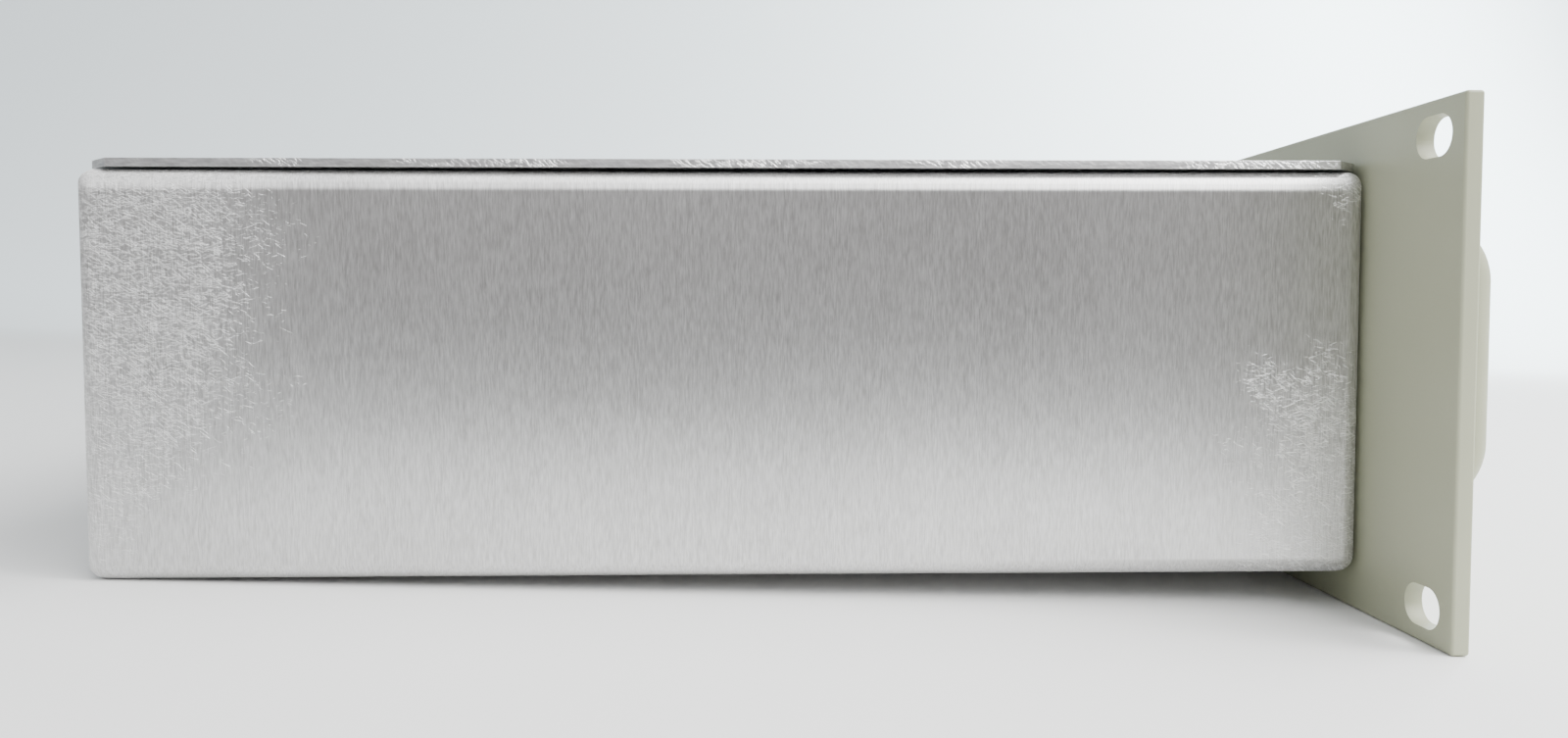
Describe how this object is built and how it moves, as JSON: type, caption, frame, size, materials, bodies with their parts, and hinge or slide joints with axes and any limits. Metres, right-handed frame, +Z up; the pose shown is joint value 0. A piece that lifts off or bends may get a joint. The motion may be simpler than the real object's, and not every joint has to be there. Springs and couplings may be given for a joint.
{
  "type": "rack-mount equipment chassis",
  "caption": "Rack-mount chassis: brushed aluminium case with lift-off cover, painted slotted front panel with bow handles, rocker switch, rear mains inlet, fuse drawer and fan.",
  "frame": {"origin": "centre of the base of the whole object's box, at the height of the front panel's lower edge", "axes": "+Z up; the front panel faces -Y and lies in the XZ plane; +X is to the right of someone facing the front panel; the case runs back along +Y"},
  "size_m": [0.4826, 0.2654, 0.0881],
  "materials": {
    "brushed_aluminium": "vertical brushed grain, hand-ground corners",
    "mill_aluminium": "plain mill sheet and extrusion",
    "panel_paint": "putty-grey satin powder coat",
    "zinc_steel": "zinc-plated, semi-bright",
    "black_plastic": "matte moulded",
    "copper": "enamelled copper winding",
    "green_lens": "translucent moulded",
    "amber_lens": "translucent moulded",
    "fuse_glass": "clear tube with metal caps",
    "tinned_brass": "tinned",
    "circuit_board": "green solder mask",
    "capacitor_sleeve": "shrunk sleeve",
    "transformer": "taped winding on a ferrite core",
    "lead_insulation": "extruded sleeve",
    "ribbon_cable": "flat cable"
  },
  "bodies": {
    "chassis": {"board_standoff_left_lower": "tinned_brass", "board_standoff_left_upper": "tinned_brass", "board_standoff_right_lower": "tinned_brass", "board_standoff_right_upper": "tinned_brass", "case_tub": "brushed_aluminium", "connector_insert": "black_plastic", "connector_shell": "zinc_steel", "fan_frame": "black_plastic", "fan_guard": "zinc_steel", "fan_lead": "lead_insulation", "fan_screw_left_lower": "zinc_steel", "fan_screw_left_upper": "zinc_steel", "fan_screw_right_lower": "zinc_steel", "fan_screw_right_upper": "zinc_steel", "fan_stator": "copper", "front_panel": "panel_paint", "handle_left": "panel_paint", "handle_right": "panel_paint", "handle_screw_left_lower": "zinc_steel", "handle_screw_left_upper": "zinc_steel", "handle_screw_right_lower": "zinc_steel", "handle_screw_right_upper": "zinc_steel", "inlet_housing": "black_plastic", "inlet_pin_earth": "tinned_brass", "inlet_pin_live": "tinned_brass", "inlet_pin_neutral": "tinned_brass", "inlet_screw_left": "zinc_steel", "inlet_screw_right": "zinc_steel", "jackscrew_left": "zinc_steel", "jackscrew_right": "zinc_steel", "main_board": "circuit_board", "mains_lead": "lead_insulation", "panel_screw_left_lower": "zinc_steel", "panel_screw_left_upper": "zinc_steel", "panel_screw_right_lower": "zinc_steel", "panel_screw_right_upper": "zinc_steel", "power_lamp_bezel": "zinc_steel", "power_lamp_lens": "green_lens", "power_switch_housing": "black_plastic", "signal_ribbon": "ribbon_cable", "status_lamp_bezel": "zinc_steel", "status_lamp_lens": "amber_lens", "supply_board": "circuit_board", "supply_bracket": "mill_aluminium", "supply_capacitor": "capacitor_sleeve", "supply_heat_sink": "mill_aluminium", "supply_lead": "lead_insulation", "supply_transformer": "transformer"},
    "cover": {"cover_screw_front_left": "zinc_steel", "cover_screw_front_middle": "zinc_steel", "cover_screw_front_right": "zinc_steel", "cover_screw_rear_left": "zinc_steel", "cover_screw_rear_middle": "zinc_steel", "cover_screw_rear_right": "zinc_steel", "top_cover": "brushed_aluminium"},
    "rocker": {"power_switch_rocker": "black_plastic"},
    "fan_impeller": {"fan_rotor": "black_plastic", "fan_shaft": "zinc_steel"},
    "fuse_carrier": {"fuse_drawer": "black_plastic", "fuse_link": "fuse_glass"}
  },
  "joints": [
    {"name": "cover_lift", "type": "slide", "parent": "chassis", "child": "cover", "axis": [0, 0, 1], "range_m": [0, 0.1]},
    {"name": "power_rocker", "type": "hinge", "parent": "chassis", "child": "rocker", "pos_m": [0.14, -0.1008, 0.04405], "axis": [-1, 0, 0], "range_deg": [0, 20]},
    {"name": "fan_spin", "type": "hinge", "parent": "chassis", "child": "fan_impeller", "pos_m": [0.08, 0.1147, 0.043], "axis": [0, 1, 0], "continuous": true},
    {"name": "fuse_drawer_slide", "type": "slide", "parent": "chassis", "child": "fuse_carrier", "axis": [0, 1, 0], "range_m": [0, 0.018]}
  ]
}
